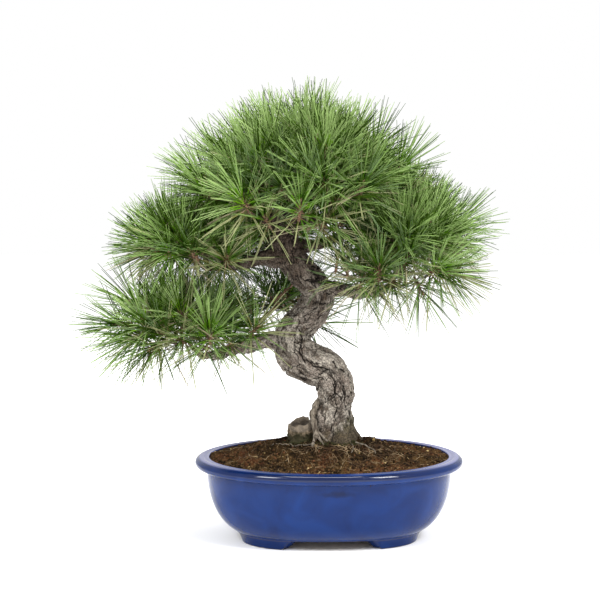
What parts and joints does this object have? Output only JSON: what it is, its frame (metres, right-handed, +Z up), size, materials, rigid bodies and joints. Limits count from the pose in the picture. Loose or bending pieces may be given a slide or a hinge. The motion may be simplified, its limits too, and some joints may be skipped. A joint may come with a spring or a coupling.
{
  "type": "aleppo pine bonsai in an oval pot",
  "caption": "Aleppo pine grown as a bonsai, with a bent, fissured trunk, boughs and masses of long needles, in a footed oval pot of glossy blue glaze.",
  "frame": {"origin": "the surface the pot stands on, under the middle of the whole plant's bounding box", "axes": "+Z up the plant, -Y the front of the pot, +X along the pot's length to the right seen from the front"},
  "size_m": [0.568, 0.4074, 0.5881],
  "materials": {
    "glaze": "glossy cobalt blue glaze",
    "soil": "dark granular soil",
    "bark": "grey brown plated bark",
    "old_wood": "weathered sawn wood with bark round it",
    "needles": "green needles, slightly waxy"
  },
  "bodies": {
    "root": {"pot": "glaze", "soil": "soil", "trunk": "bark", "root_stub": "old_wood", "bough_low_left": "bark", "bough_low_back": "bark", "bough_right": "bark", "bough_back": "bark", "bough_mid_left": "bark", "bough_right_back": "bark", "bough_upper_left": "bark", "bough_upper_right": "bark", "bough_upper_front": "bark", "bough_upper_back": "bark", "foliage_apex": "needles", "foliage_upper_left": "needles", "foliage_upper_right": "needles", "foliage_upper_front": "needles", "foliage_upper_back": "needles", "foliage_mid_left": "needles", "foliage_low_left": "needles", "foliage_right": "needles", "foliage_right_back": "needles", "foliage_back": "needles", "foliage_low_back": "needles"}
  },
  "joints": []
}
